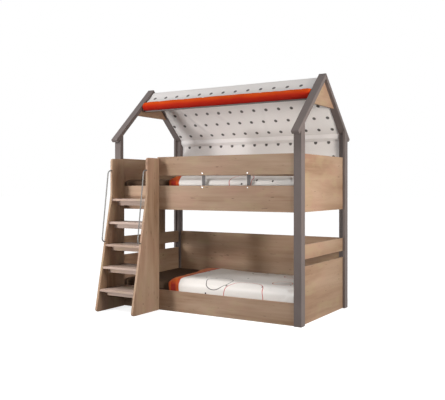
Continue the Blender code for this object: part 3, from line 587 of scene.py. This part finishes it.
def puff(piece, held, pressure, grow, cap, frames=20):
    """Inflate a mesh with Cloth, limit how far each point goes and keep the result."""
    rest = [vert.co.copy() for vert in piece.data.vertices]
    group = piece.vertex_groups.new(name="held")
    for index, weight in enumerate(held):
        if weight:
            group.add([index], weight, "REPLACE")
    cloth = piece.modifiers.new("cloth", "CLOTH")
    stuff = cloth.settings
    stuff.quality = 4
    stuff.mass = 0.25
    stuff.tension_stiffness = 14
    stuff.compression_stiffness = 14
    stuff.shear_stiffness = 6
    stuff.bending_stiffness = 0.25
    stuff.vertex_group_mass = "held"
    stuff.use_pressure = True
    stuff.uniform_pressure_force = pressure
    stuff.shrink_min = -grow
    stuff.effector_weights.gravity = 0
    cloth.point_cache.frame_start = 1
    cloth.point_cache.frame_end = frames
    scene = bpy.context.scene
    for step in range(1, frames + 1):
        scene.frame_set(step)
    result = piece.evaluated_get(bpy.context.evaluated_depsgraph_get()).to_mesh()
    moved = [vert.co.copy() for vert in result.vertices]
    piece.modifiers.remove(cloth)
    piece.vertex_groups.clear()
    for vert, start, end, limit in zip(piece.data.vertices, rest, moved, cap):
        offset = end - start
        if offset.length > limit:
            offset *= limit / offset.length
        vert.co = start + offset
    scene.frame_set(1)


def subdivide(piece):
    """One level of smooth subdivision."""
    step = piece.modifiers.new("subdivision", "SUBSURF")
    step.levels = 1
    step.render_levels = 1


def roof_path():
    """The run of the cloth in (y, z): sleeve, ridge pole, eave rod, hem."""
    pole, rod, roll = (section(name) for name in ("ridge_pole", "eave_rod_rear", "purlin_sleeve"))
    sleeve_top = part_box("purlin_sleeve")[1].z
    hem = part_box("canopy")[0].z
    roll = Vector((roll.x, sleeve_top - SLEEVE_DROP))
    pole_reach = POLE_RADIUS + CLOTH_STANDOFF
    rod_reach = ROD_RADIUS + CLOTH_STANDOFF
    down = Vector((-1, -1)).normalized()
    out = Vector((-1, 1)).normalized()
    leave = pole + out * pole_reach
    foot = (roll - leave).dot(down)
    aside = (roll - leave - down * foot).length
    start = leave + down * (foot - math.sqrt((SLEEVE_RADIUS + SLEEVE_STANDOFF) ** 2 - aside ** 2))
    run = rod - pole
    lean = math.acos((pole_reach - rod_reach) / run.length)
    facing = run.normalized()
    facing = Vector((
        facing.x * math.cos(lean) - facing.y * math.sin(lean),
        facing.x * math.sin(lean) + facing.y * math.cos(lean),
    ))
    over = arc(pole, pole_reach, heading(out), heading(facing), 8)
    round_rod = arc(rod, rod_reach, heading(facing), 0.0, 6)
    points = [start] + over + round_rod + [Vector((round_rod[-1].x, hem))]
    return points, over[4], round_rod[-1], facing


def crease(share_x, share):
    """Soft diagonal folds of the back slope: a valley with a low ridge beside it."""
    width = 2 * CLOTH_REACH
    depth = 0.0
    here = Vector((share_x * width, share * SLOPE_RUN))
    for x_start, start, x_end, end, weight in CREASES:
        first = Vector((x_start * width, start * SLOPE_RUN))
        last = Vector((x_end * width, end * SLOPE_RUN))
        run = last - first
        offset = here - first
        along = offset.dot(run) / run.length_squared
        fade = clamp(6 * along) * clamp(4 * (1.15 - along))
        away = (run.x * offset.y - run.y * offset.x) / run.length
        valley = math.exp(-(away / VALLEY_WIDTH) ** 2)
        ridge = math.exp(-((away - RIDGE_ASIDE) / RIDGE_WIDTH) ** 2)
        depth += FOLD_DEPTH * weight * fade * (valley - 0.45 * ridge)
    return depth


def make_roof_cloth():
    """The fabric roof: one sheet over the ridge pole and the eave rod, with soft folds."""
    points, ridge, eave, slope = roof_path()
    rows = framed(divided(points, CLOTH_GRID))
    ridge_run = min(rows, key=lambda row: (row[0] - ridge).length)[2]
    eave_run = min(rows, key=lambda row: (row[0] - eave).length)[2]
    total = rows[-1][2]
    columns = round(2 * CLOTH_REACH / CLOTH_GRID)
    verts, metres, hems = [], [], []
    for point, normal, run in rows:
        below = run - ridge_run
        for column in range(columns + 1):
            share_x = column / columns
            x = CLOTH_REACH * (2 * share_x - 1)
            ripple = noise.noise(Vector((x * 3.1, run * 4.3, 0.7)))
            if run < ridge_run - FLAT_RUN:
                share = run / (ridge_run - FLAT_RUN)
                lift = -(FRONT_SAG + 0.002 * ripple) * math.sin(math.pi * share) ** 2
            elif FLAT_RUN < below and run < eave_run - FLAT_RUN:
                share = (below - FLAT_RUN) / (eave_run - ridge_run - 2 * FLAT_RUN)
                belly = math.sin(math.pi * share) ** 1.3
                lift = -(BACK_SAG + 0.0025 * ripple + crease(share_x, share)) * belly
            elif run > eave_run:
                share = (run - eave_run) / (total - eave_run)
                wave = math.sin(2 * math.pi * x / HEM_WAVE_LENGTH + ripple)
                lift = HEM_WAVE * wave * math.sqrt(share)
                lift += 0.0012 * ripple * share
            else:
                lift = 0.0
            place = point + normal * lift
            verts.append((x, place.x, place.y))
            metres.append((x, below))
            hems.append((min(x + CLOTH_REACH, CLOTH_REACH - x), min(total - run, 1.0)))
    faces = grid_faces(len(rows), columns)
    cloth = mesh_piece("roof_cloth", verts, faces, roof_cloth(), {"metres": metres, "hems": hems})
    layer = cloth.data.uv_layers.new(name="dots")
    for face in cloth.data.polygons:
        loops = list(face.loop_indices)
        places = [metres[cloth.data.loops[loop].vertex_index] for loop in loops]
        centre = sum(below for _, below in places) / len(loops)
        row, phase = min(DOT_ROWS, key=lambda item: abs(item[0] - centre))
        for loop, (x, below) in zip(loops, places):
            layer.data[loop].uv = ((x - phase) / DOT_PITCH + 0.5, (below - row) / DOT_PITCH)
    step = cloth.modifiers.new("thickness", "SOLIDIFY")
    step.thickness = CLOTH_THICK
    step.offset = 0
    seat(cloth, "canopy")
    make_tunnel(slope)


def tangent(point, centre, reach, side):
    """Angle of the place where a line from a point touches a circle."""
    away = point - centre
    return heading(away) + side * math.acos(reach / away.length)


def make_tunnel(slope):
    """The strip of cloth that holds the eave rod, sewn to the inside of the roof."""
    rod = section("eave_rod_rear")
    up = Vector((-slope.y, slope.x))
    top = rod + slope * TUNNEL_SEAM + up * TUNNEL_LAP
    foot = rod + Vector((1, 0)) * TUNNEL_SEAM + Vector((0, -TUNNEL_LAP))
    first = tangent(top, rod, TUNNEL_REACH, 1) % (2 * math.pi)
    last = tangent(foot, rod, TUNNEL_REACH, -1) % (2 * math.pi)
    points = [top] + arc(rod, TUNNEL_REACH, first, last, 10) + [foot]
    points = divided(points, TUNNEL_GRID)
    verts, metres = [], []
    for row, point in enumerate(points):
        for column in range(TUNNEL_COLUMNS + 1):
            x = CLOTH_REACH * (2 * column / TUNNEL_COLUMNS - 1)
            verts.append((x, point.x, point.y))
            metres.append((x, row * TUNNEL_GRID))
    faces = grid_faces(len(points), TUNNEL_COLUMNS)
    tunnel = mesh_piece("eave_tunnel", verts, faces, tape_cloth(), {"metres": metres})
    step = tunnel.modifiers.new("thickness", "SOLIDIFY")
    step.thickness = TUNNEL_THICK
    step.offset = 0
    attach(tunnel, "root")
    return tunnel


def make_sleeve():
    """The padded sleeve: a slotted foam tube in cloth, drawn in at its two ends."""
    low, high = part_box("purlin_sleeve")
    bar_low, bar_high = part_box("purlin_front")
    centre = Vector(((low.y + high.y) / 2, high.z - SLEEVE_DROP))
    half_slot = (bar_high.y - bar_low.y) / 2 + SLOT_PLAY
    slot_top = bar_high.z + SLOT_PLAY
    radius = SLEEVE_RADIUS
    mouth = math.asin((half_slot + 0.002) / radius)
    outer = []
    for step in range(SLEEVE_SIDES + 1):
        angle = mouth + (2 * math.pi - 2 * mouth) * step / SLEEVE_SIDES
        outer.append((Vector((math.sin(angle), -math.cos(angle))), step / SLEEVE_SIDES))
    lip = centre.y - radius * math.cos(mouth) + 0.004
    inner = [Vector((centre.x - half_slot, height)) for height in
             (lip, centre.y - 0.01, slot_top - 0.008, slot_top)]
    inner += [Vector((2 * centre.x - point.x, point.y)) for point in reversed(inner)]
    count = round((high.x - low.x) / SLEEVE_GRID)
    verts, faces, held, metres, turn = [], [], [], [], []
    size = len(outer) + len(inner)
    for station in range(count + 1):
        x = low.x + SLEEVE_SETBACK + (high.x - low.x - 2 * SLEEVE_SETBACK) * station / count
        to_end = min(x - low.x, high.x - x)
        draw = 1 - SLEEVE_DRAW * math.exp(-to_end / SLEEVE_DRAW_RUN)
        for facing, share in outer:
            uneven = noise.noise(Vector((x * 9, facing.x * 2.2, facing.y * 2.2)))
            point = centre + facing * (radius * draw + SLEEVE_PUCKER * uneven)
            verts.append((x, point.x, point.y))
            held.append(1.0 if station in (0, count) or share in (0.0, 1.0) else 0.0)
            metres.append((x, share * SLEEVE_GIRTH))
            turn.append((x, share))
        for point in inner:
            verts.append((x, point.x, point.y))
            held.append(1.0)
            metres.append((x, 0.0))
            turn.append((x, 0.0))
    for base in range(0, count * size, size):
        for index in range(size):
            near, far = base + index, base + (index + 1) % size
            faces.append((near, far, size + far, size + near))
    faces.append(tuple(reversed(range(size))))
    faces.append(tuple(range(count * size, (count + 1) * size)))
    maps = {"metres": metres, "turn": turn}
    sleeve = mesh_piece("padded_sleeve", verts, faces, sleeve_cloth(), maps)
    work = bmesh.new()
    work.from_mesh(sleeve.data)
    bmesh.ops.recalc_face_normals(work, faces=work.faces)
    work.to_mesh(sleeve.data)
    work.free()
    puff(sleeve, held, 3.0, 0.02, [SLEEVE_GROWTH] * len(verts))
    seat(sleeve, "purlin_sleeve")


def make_mattress(level, source=None):
    """A mattress in a fitted jersey sheet, with rounded edges and slack in its corners."""
    low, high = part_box(f"mattress_{level}")
    centre = (low + high) / 2
    half = (high - low) / 2
    if source:
        mattress = source.copy()
        mattress.name = f"mattress_{level}_soft"
        mattress.parent = None
        mattress.location = centre
        bpy.context.scene.collection.objects.link(mattress)
        for key in list(mattress.keys()):
            del mattress[key]
    else:
        work = bmesh.new()
        bmesh.ops.create_cube(work, size=2)
        for axis, count in enumerate(MATTRESS_COUNTS):
            normal = Vector([float(axis == each) for each in range(3)])
            for step in range(1, count):
                place = normal * (2 * step / count - 1)
                everything = work.verts[:] + work.edges[:] + work.faces[:]
                bmesh.ops.bisect_plane(work, geom=everything, plane_co=place, plane_no=normal)
        soft = MATTRESS_EDGE
        held, metres = [], []
        work.verts.index_update()
        for vert in work.verts:
            share = vert.co.copy()
            point = Vector([part * (size - MATTRESS_PLAY) for part, size in zip(share, half)])
            core = [max(-size + soft, min(size - soft, part)) for part, size in zip(point, half)]
            offset = point - Vector(core)
            if offset.length:
                point = Vector(core) + offset.normalized() * (soft - MATTRESS_PLAY)
            wrinkle = noise.noise(Vector((point.x * 7, point.y * 7, point.z * 11 + 3)))
            point += offset * 0.02 * wrinkle
            piping = abs(abs(share.z) - 0.75) < 0.01 and 1 in (abs(share.x), abs(share.y))
            held.append(1.0 if share.z == -1 or piping else 0.0)
            metres.append((point.x + point.z, point.y + point.z))
            vert.co = point
        mesh = bpy.data.meshes.new("mattress_soft")
        work.to_mesh(mesh)
        work.free()
        mesh.materials.append(sheet_cloth())
        layer = mesh.uv_layers.new(name="metres")
        for loop in mesh.loops:
            layer.data[loop.index].uv = metres[loop.vertex_index]
        mesh.shade_smooth()
        mattress = new_object(f"mattress_{level}_soft", mesh)
        mattress.location = centre
        puff(mattress, held, 3.0, 0.0, [MATTRESS_GROWTH] * len(held), frames=12)
    seat(mattress, f"mattress_{level}")
    return mattress


def make_quilt(level, material, seed):
    """A quilt over the long edges of the mattress, pinched at the turns and inflated."""
    low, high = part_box(f"duvet_{level}")
    bed_low, bed_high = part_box(f"mattress_{level}")
    centre_y = (bed_low.y + bed_high.y) / 2
    top = bed_high.z
    corners = [
        Vector((-QUILT_SIDE, top - QUILT_DROP)), Vector((-QUILT_SIDE, top)),
        Vector((QUILT_SIDE, top)), Vector((QUILT_SIDE, top - QUILT_DROP)),
    ]
    path = [corners[0]]
    for index in (0, 1):
        path += bend(*corners[index:index + 3], QUILT_TURN, 5)
    rows = framed(divided(path + [corners[3]], QUILT_GRID))
    whole = rows[-1][2]
    shoulders = (QUILT_DROP, whole - QUILT_DROP)
    foot = high.x
    columns = round(QUILT_BACK / QUILT_GRID)
    verts, held, cap, metres, head = [], [], [], [], []
    for layer in (0, 1):
        for index, (point, normal, run) in enumerate(rows):
            across = run / whole
            length = QUILT_FRONT + (QUILT_BACK - QUILT_FRONT) * across
            band = BAND_FRONT + (BAND_BACK - BAND_FRONT) * across
            for column in range(columns + 1):
                share = column / columns
                waver = QUILT_WAVER * noise.noise(Vector((seed, run * 4.0, 0.0))) * (1 - share)
                x = foot - length * (1 - share) + waver
                y, z = point
                on_top = clamp((QUILT_SIDE - abs(y)) / QUILT_TURN)
                to_edge = min(foot - x, length * share, run, whole - run)
                rim = math.sqrt(clamp(to_edge / QUILT_RIM))
                full = QUILT_FULL + QUILT_LOFT * on_top * (1.2 - share)
                swell = QUILT_SWELL * noise.noise(Vector((x * 2.6 + seed, run * 3.1, 1.3)))
                thick = QUILT_EDGE + (full + swell * on_top - QUILT_EDGE) * rim
                shoulder = min(abs(run - place) for place in shoulders)
                thick *= 1 - 0.40 * math.exp(-(shoulder / QUILT_PINCH) ** 2)
                dome = max(0.0, 1 - (x / 1.0) ** 2) * max(0.0, 1 - (y / 0.45) ** 2)
                crown = 0.0008 - QUILT_DOME * (1 - dome)
                z += crown * on_top
                lift = layer * thick
                verts.append((x, centre_y + y + normal.x * lift, z + normal.y * lift))
                edge = column in (0, columns) or index in (0, len(rows) - 1)
                held.append(1.0 if layer == 0 or edge else 0.0)
                cap.append(0.004 + 0.011 * on_top)
                metres.append((x - foot, run))
                head.append((length * share / band, run))
    width = columns + 1
    layer_size = width * len(rows)
    faces = []
    for quad in grid_faces(len(rows), columns):
        faces.append(tuple(reversed(quad)))
        faces.append(tuple(layer_size + index for index in quad))
    rim_loop = list(range(columns + 1))
    rim_loop += [row * width + columns for row in range(1, len(rows))]
    rim_loop += [(len(rows) - 1) * width + column for column in range(columns - 1, -1, -1)]
    rim_loop += [row * width for row in range(len(rows) - 2, 0, -1)]
    for start, end in zip(rim_loop, rim_loop[1:] + rim_loop[:1]):
        faces.append((start, end, layer_size + end, layer_size + start))
    maps = {"metres": metres, "head": head}
    quilt = mesh_piece(f"quilt_{level}", verts, faces, material, maps)
    puff(quilt, held, 2.0, 0.035, cap)
    subdivide(quilt)
    seat(quilt, f"duvet_{level}")


def dress_frame():
    """Give every CAD node that stays its material. The first rule that fits counts."""
    oak = [wood(f"oak_along_{letter}", axis, OAK, OAK_FLECK) for axis, letter in enumerate("xyz")]
    # The treads and aprons take the oak painted lighter and cooler, as painted light
    pale = wood("lit_oak_along_x", 0, LIT_OAK, OAK_FLECK)
    pine = wood("pine_along_y", 1, PINE, PINE_FLECK)
    grey = lacquer("grey_lacquer_look", (0.116, 0.092, 0.086), (0.144, 0.116, 0.109),
                   (0.26, 0.22, 0.21))
    rail = metal("handrail_steel", (0.17, 0.165, 0.16), (160, 160, 6), 0.48, 0.60)
    plate = metal("strap_steel", (0.072, 0.066, 0.065), (12, 300, 300), 0.50, 0.62)
    head = metal("screw_steel", (0.88, 0.88, 0.88), (90, 90, 90), 0.20, 0.34)
    rules = (
        (grey, ("post_", "rafter_", "ridge_pole", "eave_rod", "purlin_front")),
        (oak[2], ("end_batten", "ladder_cheek")),
        (oak[1], ("gable_", "end_")),
        (pale, ("tread_", "apron_")),
        (oak[0], ("rail_", "guard_board", "panel_")),
        (pine, ("ledge_", "slat_")),
        (rail, "handrail_"),
        (plate, "guard_strap"),
        (head, "strap_screw"),
    )
    for name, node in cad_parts.items():
        for material, starts in rules:
            if name.startswith(starts):
                node.data.materials.clear()
                node.data.materials.append(material)
                break


def make_camera():
    """The photograph's own viewpoint and framing."""
    lens = bpy.data.cameras.new("photo_camera")
    lens.sensor_width = 36
    lens.lens = PHOTO_FOCAL / PHOTO_SIZE[0] * 36
    lens.shift_x = (PHOTO_SIZE[0] / 2 - PHOTO_CENTRE[0]) / PHOTO_SIZE[0]
    lens.shift_y = (PHOTO_CENTRE[1] - PHOTO_SIZE[1] / 2) / PHOTO_SIZE[0]
    lens.clip_start = 0.1
    eye = new_object("photo_camera", lens)
    eye.location = PHOTO_EYE
    eye.rotation_euler = (math.pi / 2, 0, PHOTO_YAW)
    bpy.context.scene.camera = eye


def place_lamp(name, lamp, place, back):
    """Put a lamp at a place, its back turned to a direction."""
    made = new_object(name, lamp)
    made.location = place
    made.rotation_mode = "QUATERNION"
    made.rotation_quaternion = back.to_track_quat("Z", "Y")


def make_sun(name, azimuth, elevation, strength, softness, colour):
    """A soft sun. Azimuth 0 shines along +Y, and 90 along -X."""
    sun = bpy.data.lights.new(name, "SUN")
    sun.energy = strength
    sun.angle = math.radians(softness)
    sun.color = colour
    turn, rise = math.radians(azimuth), math.radians(elevation)
    level = math.cos(rise)
    back = Vector((math.sin(turn) * level, -math.cos(turn) * level, math.sin(rise)))
    place_lamp(name, sun, back * SUN_DISTANCE, back)


def make_panel(name, place, target, size, power, colour):
    """A square light panel that faces a target."""
    panel = bpy.data.lights.new(name, "AREA")
    panel.shape = "SQUARE"
    panel.size = size
    panel.energy = power
    panel.color = colour
    place_lamp(name, panel, place, Vector(place) - Vector(target))


def make_floor():
    """A pale floor, bright enough to run into the white backdrop."""
    look = Look("studio_floor")
    grain = look.noise(look.place(), 30.0, detail=2)
    colour = look.mix(look.span(grain, 0.3, 0.7), (0.42, 0.42, 0.42, 1), (0.45, 0.45, 0.45, 1))
    look.set("Emission Color", (1, 1, 1, 1))
    look.set("Emission Strength", 0.80)
    look.set("Specular IOR Level", 0.0)
    material = look.finish(colour, look.span(grain, 0.3, 0.7, 0.75, 0.85))
    size = FLOOR_REACH
    points = [(-size, -size, 0), (size, -size, 0), (size, size, 0), (-size, size, 0)]
    floor = mesh_piece("floor", points, [(0, 1, 2, 3)], material)
    floor.location.z = -FLOOR_DROP
    floor.visible_diffuse = False


def make_sky(ambient):
    """A backdrop that looks white, straight or reflected, and lights the bed less."""
    world = bpy.data.worlds.new("studio")
    bpy.context.scene.world = world
    world.use_nodes = True
    tree = world.node_tree
    background = tree.nodes["Background"]
    background.inputs["Color"].default_value = (1, 1, 1, 1)
    rays = tree.nodes.new("ShaderNodeLightPath")
    seen = rays.outputs["Is Camera Ray"]
    for kind in ("Is Glossy Ray", "Is Transmission Ray"):
        both = tree.nodes.new("ShaderNodeMath")
        both.operation = "MAXIMUM"
        tree.links.new(seen, both.inputs[0])
        tree.links.new(rays.outputs[kind], both.inputs[1])
        seen = both.outputs[0]
    strength = tree.nodes.new("ShaderNodeMapRange")
    tree.links.new(seen, strength.inputs[0])
    strength.inputs[3].default_value = ambient
    tree.links.new(strength.outputs[0], background.inputs["Strength"])


def make_studio():
    """Floor, backdrop and lights."""
    make_floor()
    make_sky(AMBIENT)
    for name, values in SUNS.items():
        make_sun(name, *values)
    for name, values in PANELS.items():
        make_panel(name, *values)
    bpy.context.scene.view_settings.view_transform = "Standard"


dress_frame()
make_roof_cloth()
make_sleeve()
first_mattress = make_mattress("lower")
make_mattress("upper", first_mattress)
make_quilt("lower", quilt_cloth("quilt_cotton_lower", LOWER_RINGS, 1.37), 1.4)
make_quilt("upper", quilt_cloth("quilt_cotton_upper", UPPER_RINGS, 5.61), 7.9)
make_camera()
make_studio()
